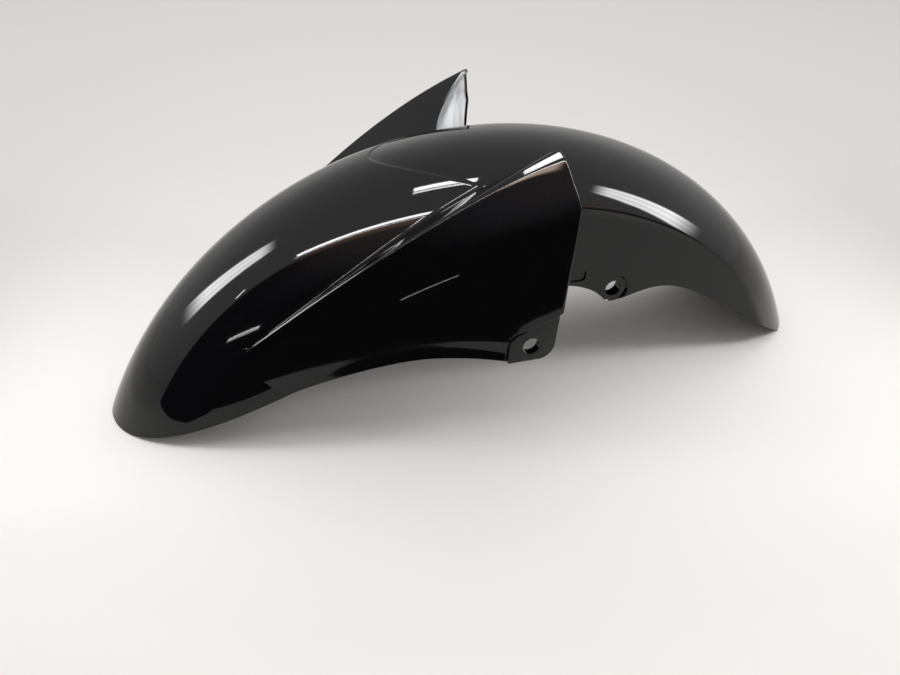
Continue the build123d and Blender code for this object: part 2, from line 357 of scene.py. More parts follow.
def meshOf(piece):
    # the evaluated mesh, with the modifiers built in
    graph = bpy.context.evaluated_depsgraph_get()
    return bpy.data.meshes.new_from_object(piece.evaluated_get(graph))


def pieceFrom(name, data):
    # an object from a mesh, a lamp or a camera
    piece = bpy.data.objects.new(name, data)
    bpy.context.scene.collection.objects.link(piece)
    return piece


def archSkin(tree, inset):
    values = {**arch, **archGrid, "inset": inset, "finish": glossBlack}
    values["creaseLean"], values["creaseBend"] = creaseCurve()
    carrier = pieceFrom("archCarrier", bpy.data.meshes.new("archCarrier"))
    sweep = carrier.modifiers.new("sweep", "NODES")
    sweep.node_group = tree
    for socket in tree.interface.items_tree:
        if socket.in_out == "INPUT":
            sweep[socket.identifier] = values[socket.name]
    mesh = meshOf(carrier)
    points = np.zeros(len(mesh.vertices) * 3)
    mesh.vertices.foreach_get("co", points)
    bpy.data.objects.remove(carrier)
    bpy.data.meshes.remove(mesh)
    return points.reshape(archGrid["rows"], archGrid["columns"], 3)


def quads(rows, columns, start=0):
    first = start + np.arange(rows * columns).reshape(rows, columns)
    corners = (first[:-1, :-1], first[1:, :-1], first[1:, 1:], first[:-1, 1:])
    return np.stack(corners, -1).reshape(-1, 4)


def ring(rows, columns):
    # vertex numbers once round the border of a grid
    first = np.arange(rows * columns).reshape(rows, columns)
    return np.concatenate((first[:-1, 0], first[-1, :-1], first[:0:-1, -1], first[0, :0:-1]))


def closedMesh(name, points, faces):
    mesh = bpy.data.meshes.new(name)
    mesh.from_pydata(points, [], faces)
    work = bmesh.new()
    work.from_mesh(mesh)
    bmesh.ops.remove_doubles(work, verts=work.verts, dist=weld * mm)
    bmesh.ops.recalc_face_normals(work, faces=work.faces)
    work.to_mesh(mesh)
    work.free()
    return mesh


def archShell():
    tree = archTree()
    outer = archSkin(tree, 0.0)
    inner = archSkin(tree, wall)
    rows, columns = outer.shape[:2]
    count = rows * columns
    border = ring(rows, columns)
    after = np.roll(border, -1)
    rim = np.stack((border, after, after + count, border + count), -1)
    faces = np.concatenate((quads(rows, columns), quads(rows, columns, count), rim))
    points = np.concatenate((outer.reshape(-1, 3), inner.reshape(-1, 3)))
    return pieceFrom("arch", closedMesh("arch", points.tolist(), faces.tolist()))


body = archShell()
print("arch swept:", len(body.data.polygons), "faces")


# lower edge, ear holes, dishes and pockets
edge = {
    "noseRimDepth": 5.0,
    "noseTurn": (-266.0, 3.5),
    "fork": (20.0, 91.0),
    "scallop": (125.0, 77.0),
    "tail": (175.0, 58.0),
    "tailRimDepth": 24.0,
    "steps": 40,
}
ear = {
    "place": (86.5, 80.0),
    "radius": 11.0,
    "frontAngle": 220.0,
    "rearAngle": 285.0,
    "hole": 6.5,
    "boss": 7.0,
    "dishRadius": 12.0,
    "dishDepth": 1.5,
}
pocket = {"place": (54.5, 96.0), "length": 13.0, "width": 9.0, "round": 3.0, "depth": 1.2}
hem = {
    "start": -200.0,
    "crest": -70.0,
    "height": 67.8,
    "frontFall": 40.8,
    "frontPower": 1.6,
    "rearFall": 6.4,
    "rearEnd": -16.4,
}


def hemAt(x):
    # height of the hem, which falls both ways from its crest
    front = np.clip((hem["crest"] - x) / (hem["crest"] - hem["start"]), 0, None)
    rear = np.clip((x - hem["crest"]) / (hem["rearEnd"] - hem["crest"]), 0, None)
    return hem["height"] - hem["frontFall"] * front ** hem["frontPower"] - hem["rearFall"] * rear**2


def flatSideAt(x):
    return arch["sideHalfWidth"] + arch["sideWidening"] * x


class SmoothLine:
    # a curve of even bend through points, with its direction at both ends given
    def __init__(self, shares, points, startWay, endWay):
        self.shares = np.asarray(shares, float)
        self.points = np.asarray(points, float)
        gaps = np.diff(self.shares)
        count = len(gaps)
        steep = np.zeros((count + 1, count + 1))
        wanted = np.zeros_like(self.points)
        steep[0, 0] = steep[-1, -1] = 1
        wanted[0] = startWay
        wanted[-1] = endWay
        for k in range(1, count):
            a, b = gaps[k - 1], gaps[k]
            steep[k, k - 1:k + 2] = (1 / a, 2 / a + 2 / b, 1 / b)
            before = (self.points[k] - self.points[k - 1]) / a**2
            after = (self.points[k + 1] - self.points[k]) / b**2
            wanted[k] = 3 * (before + after)
        self.ways = np.linalg.solve(steep, wanted.reshape(count + 1, -1)).reshape(wanted.shape)
        self.gaps = gaps

    def at(self, share):
        # one share for each curve, or one curve for all shares
        share = np.asarray(share, float)
        k = np.clip(np.searchsorted(self.shares, share, side="right") - 1, 0, len(self.gaps) - 1)
        gap = self.gaps[k]
        u = (share - self.shares[k]) / gap
        if self.points.ndim == 2:
            p0, p1, d0, d1 = self.points[k], self.points[k + 1], self.ways[k], self.ways[k + 1]
        else:
            each = np.arange(self.points.shape[1])
            p0, p1 = self.points[k, each], self.points[k + 1, each]
            d0, d1 = self.ways[k, each], self.ways[k + 1, each]
        u = u[..., None]
        gap = gap[..., None]
        return (
            p0 * (1 + 2 * u) * (1 - u) ** 2
            + p1 * u * u * (3 - 2 * u)
            + gap * (d0 * u * (1 - u) ** 2 - d1 * u * u * (1 - u))
        )


def lineThrough(points, startWay, endWay, steps):
    points = np.asarray(points, float)
    lengths = np.linalg.norm(np.diff(points, axis=0), axis=1)
    shares = np.concatenate(((0,), np.cumsum(lengths)))
    startWay = np.asarray(startWay, float) / np.linalg.norm(startWay)
    endWay = np.asarray(endWay, float) / np.linalg.norm(endWay)
    return SmoothLine(shares, points, startWay, endWay).at(np.linspace(0, shares[-1], steps))


def earAt(angle, radius):
    a = math.radians(angle)
    return ear["place"][0] + radius * math.cos(a), ear["place"][1] + radius * math.sin(a)


def lowerEdge():
    noseEnd = (edge["noseRimDepth"] - rimX, 0)
    tailEnd = (rimX - edge["tailRimDepth"], 0)
    blendStart = arch["sideFront"] - arch["sideBlend"]
    first, last = math.radians(ear["frontAngle"]), math.radians(ear["rearAngle"])
    front = lineThrough(
        (
            noseEnd,
            edge["noseTurn"],
            (hem["start"], hemAt(hem["start"])),
            (blendStart, hemAt(blendStart)),
            edge["fork"],
            earAt(ear["frontAngle"], ear["radius"]),
        ),
        (1, 0),
        (-math.sin(first), math.cos(first)),
        3 * edge["steps"],
    )
    turn = np.linspace(ear["frontAngle"], ear["rearAngle"], edge["steps"] // 2)
    bottom = np.array([earAt(a, ear["radius"]) for a in turn])
    rear = lineThrough(
        (earAt(ear["rearAngle"], ear["radius"]), edge["scallop"], edge["tail"], tailEnd),
        (-math.sin(last), math.cos(last)),
        (tailEnd[0] - edge["tail"][0], -edge["tail"][1]),
        2 * edge["steps"],
    )
    return np.concatenate((front, bottom[1:-1], rear))


def prism(name, outline, low, high, taper=0.0):
    # an outline of the side view, pushed along Y; taper widens the high end
    outline = np.asarray(outline, float)
    middle = outline.mean(0)
    away = outline - middle
    wide = middle + away * (1 + taper / np.linalg.norm(away, axis=1, keepdims=True))
    count = len(outline)
    points = [(x * mm, low * mm, z * mm) for x, z in outline]
    points += [(x * mm, high * mm, z * mm) for x, z in wide]
    faces = [list(range(count)), list(range(2 * count - 1, count - 1, -1))]
    faces += [[k, (k + 1) % count, count + (k + 1) % count, count + k] for k in range(count)]
    return pieceFrom(name, closedMesh(name, points, faces))


def circle(place, radius, steps=64):
    turn = np.linspace(0, 2 * math.pi, steps, endpoint=False)
    return np.stack((place[0] + radius * np.cos(turn), place[1] + radius * np.sin(turn)), -1)


def arcPoints(middle, radius, first, last, steps):
    turns = np.linspace(first, last, steps)
    return [(middle[0] + radius * math.cos(a), middle[1] + radius * math.sin(a)) for a in turns]


def roundedBox(place, length, width, radius, steps=8):
    points = []
    for k, (sx, sz) in enumerate(((1, 1), (-1, 1), (-1, -1), (1, -1))):
        middle = (place[0] + sx * (length / 2 - radius), place[1] + sz * (width / 2 - radius))
        points += arcPoints(middle, radius, k * math.pi / 2, (k + 1) * math.pi / 2, steps)
    return points


def cut(piece, tool, operation="DIFFERENCE"):
    saw = piece.modifiers.new("cut", "BOOLEAN")
    saw.operation = operation
    saw.solver = "EXACT"
    saw.object = tool
    mesh = meshOf(piece)
    piece.modifiers.remove(saw)
    old = piece.data
    piece.data = mesh
    bpy.data.meshes.remove(old)
    bpy.data.objects.remove(tool)


def joined(name, *parts):
    work = bmesh.new()
    for part in parts:
        work.from_mesh(part.data)
    mesh = bpy.data.meshes.new(name)
    work.to_mesh(mesh)
    work.free()
    for part in parts:
        bpy.data.objects.remove(part)
    return pieceFrom(name, mesh)


far = 2 * arch["crownRadius"]
outline = [*lowerEdge(), (far, 0), (far, far), (-far, far), (-far, 0)]
cut(body, prism("sideOutline", outline, -far, far), "INTERSECT")

earFace = flatSideAt(ear["place"][0])
bossFoot = earFace - wall - ear["boss"]
bossTop = earFace - wall / 2 - ear["dishDepth"] / 2
earHole = circle(ear["place"], ear["hole"])
dishFloor = circle(ear["place"], ear["dishRadius"] - ear["dishDepth"])
pocketFace = flatSideAt(pocket["place"][0])
pocketShape = roundedBox(pocket["place"], pocket["length"], pocket["width"], pocket["round"])
tools = [prism("earHole", earHole, -far, far)]
bosses = []
for side in (-1, 1):
    low, high = (side * (earFace + reach) for reach in (-ear["dishDepth"], ear["dishDepth"]))
    tools.append(prism("dish", dishFloor, low, high, 2 * ear["dishDepth"]))
    low, high = (side * (pocketFace + reach) for reach in (-pocket["depth"], pocket["depth"]))
    tools.append(prism("pocket", pocketShape, low, high))
    boss = prism("boss", circle(ear["place"], ear["radius"]), side * bossFoot, side * bossTop)
    cut(boss, prism("bossHole", earHole, -far, far))
    bosses.append(boss)
for tool in tools:
    cut(body, tool)
body = joined("arch", body, *bosses)
print("arch trimmed:", len(body.data.polygons), "faces")


# fork covers, one wing on each side
wing = {
    "forkGap": 19.0,
    "startDrop": 54.0,
    "ridgeSink": 0.7,
    "trailing": 23.0,
    "trailingLean": 5.0,
    "peakSetback": 9.0,
    "peakRise": 20.5,
    "kinkDrop": 34.5,
    "ridgeBow": 0.34,
    "ridgeCut": 1.2,      # the facet along the ridge starts this far in from the corner
    "peakCut": 6.5,
    "facetFall": 0.65,
    "facetEase": 0.25,    # share of the facet that its rounded edges take
    "peakRound": 8.0,     # rounding below the facet at the peak
    "peakLift": 3.4,      # keeps the facet's upper edge at the peak's height
    "peakPower": 5,       # how late the facet opens out
    "ledgeSlope": 0.46,
    "ledgeEndSlope": 0.66,
    "cheekMiddleOut": 3.0,
    "cheekOut": 15.0,
    "cheekStartFall": 10.0,
    "cheekFall": 33.0,
    "bulge": 1.0,
    "hemSink": 2.4,
    "hemMiddleGap": 14.0,
    "hemHalf": 108.0,
    "hemTuck": 50.0,
    "hemRoll": 1.5,
    "hemRollHeight": 10.0,
    "lip": 5.0,
    "valleyReach": 1.6,   # the valley's rounding, along each face
    "valleyShare": 0.4,   # and the most of the ledge that it takes
    "valleySink": 0.6,
    "thinnest": 0.1,      # share of the wall where the cover runs into the arch
    "inArch": 0.4,
    "rimRound": 1.0,
    "rimTurns": (60, 30, 0, -30, -60),
}
wingGrid = {
    "rows": 130,
    "lines": (8, 10, 18),  # over the valley, the ledge and the ridge
    "panelLines": 40,
    "lipLines": (2.5, 3.0),
    "sunkLine": -2.1,      # one line below the arch's skin
    "crowding": 0.06,      # rows lie closer at both ends
    "tipSize": 1e-3,
    "startRange": (-0.2, 0.6),
    "endRange": (0.3, 1.08),
}
topRounds = 8   # guesses at the height of the arch's skin
halvings = 42   # steps of the search for a meeting point
notch = ((14.0, 94.0), (-12.5, 73.5), (-24.0, 50.5))  # plan points, peak to foot
panelShares = (0.0, 0.2, 0.55, 0.9, 1.0)
tab = {
    "place": (-0.2, 73.5),
    "hole": 6.5,
    "inset": 2.0,
    "thickness": 6.0,
    "drop": 12.4,
    "corner": 12.0,
    "front": 16.2,
    "frontRise": 9.0,
    "rearRise": 28.5,
    "round": 11.0,
    "under": 0.6,
    "rearFlare": 1.0,
    "flare": 4.0,
    "flareFacing": 0.7,
    "edgeRound": 0.5,
    "edgeSegments": 3,
    "roundSteps": 12,
    "cornerSteps": 14,
}

crownHeight = arch["crownRadius"] - arch["axisDrop"]
coverHalf = arch["middleHalfWidth"] + wing["forkGap"]
peakX = wing["trailing"] - wing["peakSetback"]
peakHeight = crownHeight + wing["peakRise"]
kinkHeight = peakHeight - wing["kinkDrop"]
wingLength = peakX - hem["start"]
ridgeStart = math.sqrt(arch["crownRadius"] ** 2 - hem["start"] ** 2) - arch["axisDrop"] - wing["startDrop"]
tabFront = tab["place"][0] - tab["front"]
tabBottom = tab["place"][1] - tab["drop"]
tabFace = wing["hemHalf"] - tab["inset"]
tabClimb = (tab["rearRise"] - tab["frontRise"]) / (wing["trailing"] + wall - tabFront)
notchCurve = np.polyfit([y for x, y in notch], [x for x, y in notch], 2)


def archWidthAt(x, z, grow):
    # half width of the whole ellipse
    share = np.arctan2(x, z + arch["axisDrop"]) / rimAngle / 2 + 0.5
    return grow + blend(share, arch["noseHalfWidth"], arch["middleHalfWidth"], arch["tailHalfWidth"])


def archHalfAt(x, z, grow=arch["hoodStep"]):
    # half width of the arch at a point of the side view, below zero over the crown
    width = archWidthAt(x, z, grow)
    rise = np.clip((np.hypot(x, z + arch["axisDrop"]) - springRadius) / (arch["crownDepth"] + grow), 0, None)
    return width * np.sqrt(np.clip(1 - rise**2, 0, None)) - np.clip(rise - 1, 0, None) * arch["crownDepth"]


def archTopAt(x, y, grow=arch["hoodStep"]):
    # height of the arch's skin, by repeated guess
    z = np.zeros_like(x) + crownHeight / 2
    for turn in range(topRounds):
        width = archWidthAt(x, z, grow)
        radius = springRadius + (arch["crownDepth"] + grow) * np.sqrt(np.clip(1 - (y / width) ** 2, 0, None))
        z = np.sqrt(np.clip(radius**2 - x**2, 0, None)) - arch["axisDrop"]
    return z


def meeting(rule, low, high):
    # where a rule that rises from low to high passes zero
    for turn in range(halvings):
        middle = (low + high) / 2
        past = rule(middle) > 0
        high = np.where(past, middle, high)
        low = np.where(past, low, middle)
    return (low + high) / 2


def pair(y, z):
    return np.stack(np.broadcast_arrays(y, z), -1)


def cross(a, b):
    return a[..., :1] * b[..., 1:] - a[..., 1:] * b[..., :1]


def arc(a, corner, b, share):
    # rounds off a corner between two points
    return a * (1 - share) ** 2 + corner * 2 * share * (1 - share) + b * share * share


hemStart = archHalfAt(hem["start"], hemAt(hem["start"]), 0) - wing["hemSink"]
hemMiddleX = hem["start"] + wingLength / 2
hemMiddle = archHalfAt(hemMiddleX, hemAt(hemMiddleX), 0) + wing["hemMiddleGap"]
ridgeStartHalf = archHalfAt(hem["start"], ridgeStart, 0) - wing["ridgeSink"]


def wingSection(t):
    # the corners of the wing's section, as half width and height
    s = np.clip(t, 0, None)
    late = s ** wing["peakPower"]
    x = hem["start"] + t * wingLength
    slope = wing["ledgeSlope"] + (wing["ledgeEndSlope"] - wing["ledgeSlope"]) * (2 * t - 1) ** 2
    ridge = pair(
        ridgeStartHalf + (coverHalf - ridgeStartHalf) * t * (2 - t),
        ridgeStart + (peakHeight - ridgeStart) * (t + wing["ridgeBow"] * t * (1 - t)),
    )
    cheek = ridge + pair(
        blend(s, 0.0, wing["cheekMiddleOut"], wing["cheekOut"]),
        -wing["cheekStartFall"] - (wing["cheekFall"] - wing["cheekStartFall"]) * s,
    )
    ridge = ridge + pair(0 * s, wing["peakLift"] * late)
    hemLine = blend(t, hemStart, hemMiddle, wing["hemHalf"])
    lipTop = pair(hemLine - wing["hemTuck"] * (s - t), hemAt(x) + wing["lip"])
    roll = lipTop + pair(wing["hemRoll"] * s, wing["hemRollHeight"] + 0 * s)
    middle = (cheek + roll) / 2 + pair(wing["bulge"] * s, 0 * s)
    rise = pair(1 + 0 * slope, slope) / np.hypot(1, slope)[..., None]
    fall = (cheek - ridge) / np.linalg.norm(cheek - ridge, axis=-1, keepdims=True)
    flat = pair(1 + 0 * slope, -wing["facetFall"] + 0 * slope) / math.hypot(1, wing["facetFall"])
    inner = (wing["ridgeCut"] + (wing["peakCut"] - wing["ridgeCut"]) * late)[..., None]
    length = inner * cross(rise, fall) / cross(flat, fall)
    facet = (ridge - rise * inner, ridge - rise * inner + flat * length)
    ease = wing["facetEase"] * length
    ledgeEnd = facet[0] - rise * ease
    cheekStart = facet[1] + fall * (ease + wing["peakRound"] * late[..., None])
    brow = (ledgeEnd, facet[0], facet[0] + flat * ease, facet[1] - flat * ease, facet[1], cheekStart)
    return x, slope, brow, (cheekStart, cheek, middle, roll, lipTop)


def wingPoint(v, t):
    # v: -2 to -1 the valley, to 0 the ledge, to 1 the ridge, to 2 the panel, to 3 the lip
    x, slope, brow, panelPoints = wingSection(t)
    ledgeEnd = brow[0]
    cheekStart, cheek, middle, roll, lipTop = panelPoints

    def ledge(y):
        return ledgeEnd[..., 1] - slope * (ledgeEnd[..., 0] - y)

    valleyY = meeting(lambda y: y - archHalfAt(x, ledge(y)), 0 * t, ledgeEnd[..., 0])
    reach = np.minimum(wing["valleyReach"], wing["valleyShare"] * (ledgeEnd[..., 0] - valleyY))
    valley = pair(valleyY, ledge(valleyY))
    outer = pair(valleyY + reach, ledge(valleyY + reach))
    sunk = np.where(v < -2, wing["valleySink"], 0)
    inner = pair(valleyY - reach, archTopAt(x, valleyY - reach) - sunk)
    fillet = arc(inner, valley, outer, np.clip(v + 2, 0, 1)[..., None])
    shelf = outer + (ledgeEnd - outer) * np.clip(v + 1, 0, 1)[..., None]
    c = np.clip(3 * v, 0, 3)[..., None]
    over = arc(*brow[:3], np.clip(c, 0, 1))
    under = arc(*brow[3:], np.clip(c - 2, 0, 1))
    nose = np.where(c < 1, over, np.where(c < 2, brow[2] + (brow[3] - brow[2]) * (c - 1), under))
    line = SmoothLine(
        panelShares,
        panelPoints,
        (cheek - cheekStart) / panelShares[1],
        pair(0 * t, -np.linalg.norm(roll - lipTop, axis=-1)) / (1 - panelShares[3]),
    )
    panel = line.at(np.clip(v - 1, 0, 1))
    lip = lipTop - pair(0 * t, wing["lip"] * np.clip(v - 2, 0, 1))
    v = v[..., None]
    found = np.select((v < -1, v < 0, v < 1, v < 2), (fillet, shelf, nose, panel), lip)
    return x, found[..., 0], found[..., 1]


def outsideArch(v, t):
    x, y, z = wingPoint(v, t)
    return y - archHalfAt(x, z)


def trailingAt(z):
    # x of the trailing edge, which leans forward both ways from its kink
    over = np.clip(z - kinkHeight, 0, None) * wing["peakSetback"] / wing["kinkDrop"]
    under = np.clip(kinkHeight - z, 0, None) * wing["trailingLean"] / (kinkHeight - tabBottom - tab["corner"])
    return wing["trailing"] - over - under


def insideTab(x, z):
    # how far a point lies inside the tab's outline
    a = x - tabFront
    b = (tab["place"][1] + tab["frontRise"] + tabClimb * a - z) / math.hypot(1, tabClimb)
    bend = tab["round"]
    corner = bend - np.hypot(bend - np.minimum(a, bend), bend - np.minimum(b, bend))
    return np.where((a > 0) & (b > 0), corner, np.minimum(a, b))


def pastTrim(v, t):
    # above zero behind the trailing edge, in the notch or in the tab's outline
    x, y, z = wingPoint(v, t)
    past = x - trailingAt(z)
    inNotch = np.where(y < notch[0][1], x - np.polyval(notchCurve, y), -far)
    return np.maximum(np.maximum(past, inNotch), insideTab(x, z)) + wing["rimRound"]


def wingLines():
    runs = [np.linspace(k - 2, k - 1, count, endpoint=False) for k, count in enumerate(wingGrid["lines"])]
    panel = 1 + np.linspace(0, 1, wingGrid["panelLines"])
    return np.concatenate(((wingGrid["sunkLine"],), *runs, panel, wingGrid["lipLines"]))


def wingShell(name, side):
    lines = wingLines()
    count = wingGrid["rows"]
    ridgeLine = int(np.argmin(np.abs(lines)))
    low, high = (0 * lines + t for t in wingGrid["startRange"])
    start = meeting(lambda t: outsideArch(lines, t) + wall / 2, low, high)
    start = np.where(lines < 0, start[ridgeLine], start)
    low, high = (0 * lines + t for t in wingGrid["endRange"])
    end = meeting(lambda t: pastTrim(lines, t), low, high)
    share = np.linspace(0, 1, count)
    share = share - wingGrid["crowding"] * np.sin(2 * math.pi * share)
    t = start[:, None] + (end - start)[:, None] * share
    v = np.broadcast_to(lines[:, None], t.shape)
    x, y, z = (part.reshape(t.shape) for part in wingPoint(v.ravel(), t.ravel()))
    skin = np.stack((x, y, z), -1)

    along = np.gradient(skin, axis=1)
    across = np.gradient(skin, axis=0)
    out = np.cross(across, along)
    size = np.linalg.norm(out, axis=-1)
    for k in range(ridgeLine, -1, -1):  # lines that meet at the tip take the next one's direction
        thin = size[k] < wingGrid["tipSize"]
        out[k, thin] = out[k + 1, thin]
    out /= np.linalg.norm(out, axis=-1, keepdims=True)
    if out[len(lines) * 2 // 3, count // 2, 1] < 0:  # a point amid the panel
        out = -out

    thick = np.clip(y - archHalfAt(x, z) + wing["inArch"] * wall, wing["thinnest"] * wall, wall)
    nearTab = np.clip(1 + insideTab(x, z) / tab["flare"], 0, 1)  # the wall thickens on to the tab
    thicker = np.maximum(thick, nearTab * (y - tabFace + tab["under"]))
    thick = np.where(out[..., 1] > tab["flareFacing"], thicker, thick)[..., None]
    inside = skin - out * thick
    ahead = skin[:, -1] - skin[:, -2]
    ahead /= np.linalg.norm(ahead, axis=-1, keepdims=True)
    rim = []
    for turn in np.radians(wing["rimTurns"]):
        lift = out[:, -1] * thick[:, -1] / 2
        rim.append(skin[:, -1] - lift + lift * math.sin(turn) + ahead * wing["rimRound"] * math.cos(turn))
    sheet = np.concatenate((skin, np.stack(rim, 1), inside[:, ::-1]), 1)
    sheet[..., 1] *= side

    rows, columns = sheet.shape[:2]
    number = np.arange(rows * columns).reshape(rows, columns)
    faces = quads(rows, columns).tolist()
    for row in (number[0], number[-1]):
        for k in range(count - 1):
            faces.append([row[k], row[k + 1], row[columns - 2 - k], row[columns - 1 - k]])
        faces.append(row[count - 1:columns - count + 1].tolist())
    for k in range(rows - 1):
        faces.append([number[k, 0], number[k + 1, 0], number[k + 1, -1], number[k, -1]])
    return pieceFrom(name, closedMesh(name, (sheet.reshape(-1, 3) * mm).tolist(), faces))


def tabPlate(name, side):
    left = tabFront - tab["under"]
    top = tab["place"][1] + tab["frontRise"] + tab["under"]
    points = [(left, hemAt(tabFront))]
    bend = tab["round"]
    tilt = math.atan(tabClimb)
    middle = (left + bend, top + bend * tabClimb - bend / math.cos(tilt))
    points += arcPoints(middle, bend, math.pi, math.pi / 2 + tilt, tab["roundSteps"])
    right = meeting(lambda x: x - trailingAt(top + tabClimb * (x - left)), left, left + wingLength)
    points.append((right + tab["rearFlare"], top + tabClimb * (right - left)))
    corner = (wing["trailing"] - wing["trailingLean"] - tab["corner"], tabBottom + tab["corner"])
    points += arcPoints(corner, tab["corner"], 0, -math.pi / 2, tab["cornerSteps"])
    plate = prism(name, points, side * (tabFace - tab["thickness"]), side * tabFace)
    soften = plate.modifiers.new("soften", "BEVEL")
    soften.width = tab["edgeRound"] * mm
    soften.segments = tab["edgeSegments"]
    plate.data = meshOf(plate)
    plate.modifiers.clear()
    cut(plate, prism("tabHole", circle(tab["place"], tab["hole"]), -far, far))
    return plate


covers = []
for side in (-1, 1):
    covers.append(wingShell("wing", side))
    covers.append(tabPlate("tab", side))
print("fork covers:", sum(len(c.data.polygons) for c in covers), "faces")

shading = {"sharpAngle": 38.0, "capCorners": 16}  # the tabs and bosses end in flat caps
mudguard = joined("mudguardShell", body, *covers)
mudguard.data.shade_smooth()
for face in mudguard.data.polygons:
    face.use_smooth = len(face.vertices) < shading["capCorners"]
mudguard.data.set_sharp_from_angle(angle=math.radians(shading["sharpAngle"]))
mudguard.data.materials.clear()
mudguard.data.materials.append(glossBlack)
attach(mudguard, "root")
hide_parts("mudguard")
print("mudguard joined:", sum(len(p.vertices) - 2 for p in mudguard.data.polygons), "triangles")


# camera
view = {
    "place": (-0.20053, -0.52388, 0.40088),
    "azimuth": 18.32,
    "elevation": 28.97,
    "roll": 1.52,
    "sensor": 36.0,
    "lens": 32.035,
    "shift": -0.0939,
    "near": 0.01,
}


def photoCamera():
    a, e, r = (math.radians(view[k]) for k in ("azimuth", "elevation", "roll"))
    forward = Vector((math.sin(a) * math.cos(e), math.cos(a) * math.cos(e), -math.sin(e)))
    level = Vector((math.cos(a), -math.sin(a), 0))
    right = level * math.cos(r) + level.cross(forward) * math.sin(r)
    turn = Matrix((right, right.cross(forward), -forward)).transposed()
    camera = pieceFrom("photoCamera", bpy.data.cameras.new("photoCamera"))
    camera.matrix_world = Matrix.Translation(view["place"]) @ turn.to_4x4()
    camera.data.sensor_width = view["sensor"]
    camera.data.lens = view["lens"]
    camera.data.shift_y = view["shift"]
    camera.data.clip_start = view["near"]
    bpy.context.scene.camera = camera


photoCamera()
bpy.context.scene.view_settings.view_transform = "Standard"
print("camera set")


# light tent, its front open to a dim room; millimetres right, forward and up along the tent's axis
tent = {
    "azimuth": 8.9,
    "paper": (0.90, 0.885, 0.86, 1),
    "paperRoughness": 0.75,
    "paperMirror": 0.2,
    "paperSize": 6000.0,
    "paperBack": 1000.0,
    "paperDrop": 0.3,
    "walls": (0.95, 0.94, 0.93, 1),
    "wallFoot": (0.72, 0.715, 0.705, 1),
    "wallRise": 0.3,      # steepness at which the walls are full white
    "spill": 0.49,        # share of the walls' light that falls on the paper
}
room = {
    "front": -186.0,
    "middle": 35.0,
    "half": 515.0,
    "height": 312.0,
    "bend": 2.7,
    "steps": 49,
    "table": ((17, 0), (26, 30), (36, 40), (60, 52), (110, 75)),  # to the right the pale table runs on
    "apron": ((-480, -186), (-400, -166), (-300, -143), (-262, -140), (-240, -172), (17, -174), (17, -186)),
    "apronLift": 0.1,
    "leftToMiddle": (-330.0, -90.0),
    "shades": (           # height, colour of the room at the left and in the middle
        (50.0, (0.030, 0.025, 0.034, 1), (0.030, 0.025, 0.030, 1)),
        (145.0, (0.030, 0.026, 0.034, 1), (0.030, 0.026, 0.032, 1)),
        (200.0, (0.035, 0.030, 0.038, 1), (0.32, 0.295, 0.32, 1)),
        (272.0, (0.080, 0.060, 0.058, 1), (0.60, 0.48, 0.45, 1)),
        (293.0, (2.0, 1.12, 0.72, 1), (2.5, 1.45, 0.95, 1)),
        (299.0, (0.12, 0.10, 0.10, 1), (0.30, 0.22, 0.18, 1)),
    ),
    "glow": (13.0, 9.8, 7.9, 1),  # a warm light, which the panel mirrors below its peak
    "glowRise": (236.0, 261.0),
    "glowLeft": (-70.0, -45.0),
    "glowRight": (11.0, -4.0),
}
# lamps: middle, size, the way they shine, lean in their own plane, brightness against paper white
toFloor, toBack, toRight, toLeft = (0, 0, -1), (0, 1, 0), (1, 0, 0), (-1, 0, 0)
lamps = {
    "frontStrip": ((-42, -181, 310), (484, 10), toFloor, 0, 42),
    "frontStripEdge": ((-42, -184, 300), (484, 3), toBack, 0, 25),
    "topLamp": ((-12, -110, 500), (146, 24), toFloor, 0, 40),
    "topLampEdge": ((-12, -134, 500), (146, 10), toFloor, 0, 31),
    "roomLamp": ((-252, -178, 106), (57, 2), toBack, 7, 28),
    "roomLampEdge": ((-251, -178, 102.5), (57, 1.2), toBack, 8, 22),
    "roomDash": ((-398, -178, 243), (26, 7), toBack, 80, 40),
    "farLine": ((-55, -178, 76), (52, 1.2), toBack, 25, 10),
}
# panels at the sides, with soft ends
panels = {
    "leftPanel": ((-471, -41, 307), (92, 330), toRight, -7, 24),
    "rightPanel": ((500, -128, 371), (104, 420), toLeft, 13.5, 24),
}
panelFade = {"sides": 0.3, "ends": 0.5, "rows": 9.0, "ripple": 0.12}
# soft light on the paper, not mirrored
washes = {
    "softTop": ((0, 500, 2200), (2600, 2600), toFloor, 0, 1.0),
    "frontWash": ((-42, -181, 310), (484, 10), toFloor, 0, 8.5),
    "leftWash": ((-471, -41, 307), (80, 240), toRight, -7, 14),
    "rightWash": ((500, -128, 371), (90, 300), toLeft, 13.5, 14),
}
# spot on the bare inside of the far cover, in the part's own axes
coverFill = {
    "at": (-40, -60, 330),
    "to": (0, 95, 193),
    "cone": 13.0,
    "blend": 0.8,
    "soft": 10.0,
    "power": 1.8,
}
square = ((-1, -1), (1, -1), (1, 1), (-1, 1))


def inTent(right, forward, up):
    a = math.radians(tent["azimuth"])
    x = right * math.cos(a) + forward * math.sin(a)
    return Vector((x, forward * math.cos(a) - right * math.sin(a), up)) * mm


def palePaper():
    half = tent["paperSize"] * mm / 2
    back, down = tent["paperBack"] * mm, tent["paperDrop"] * mm
    corners = [(sx * half, sy * half + back, -down) for sx, sy in square]
    mesh = bpy.data.meshes.new("paper")
    mesh.from_pydata(corners, [], [(0, 1, 2, 3)])
    inputs = {"Base Color": tent["paper"], "Roughness": tent["paperRoughness"]}
    inputs["Specular IOR Level"] = tent["paperMirror"]
    paper, tree, shader = shaded("palePaper", inputs)
    mesh.materials.append(paper)
    pieceFrom("paper", mesh)


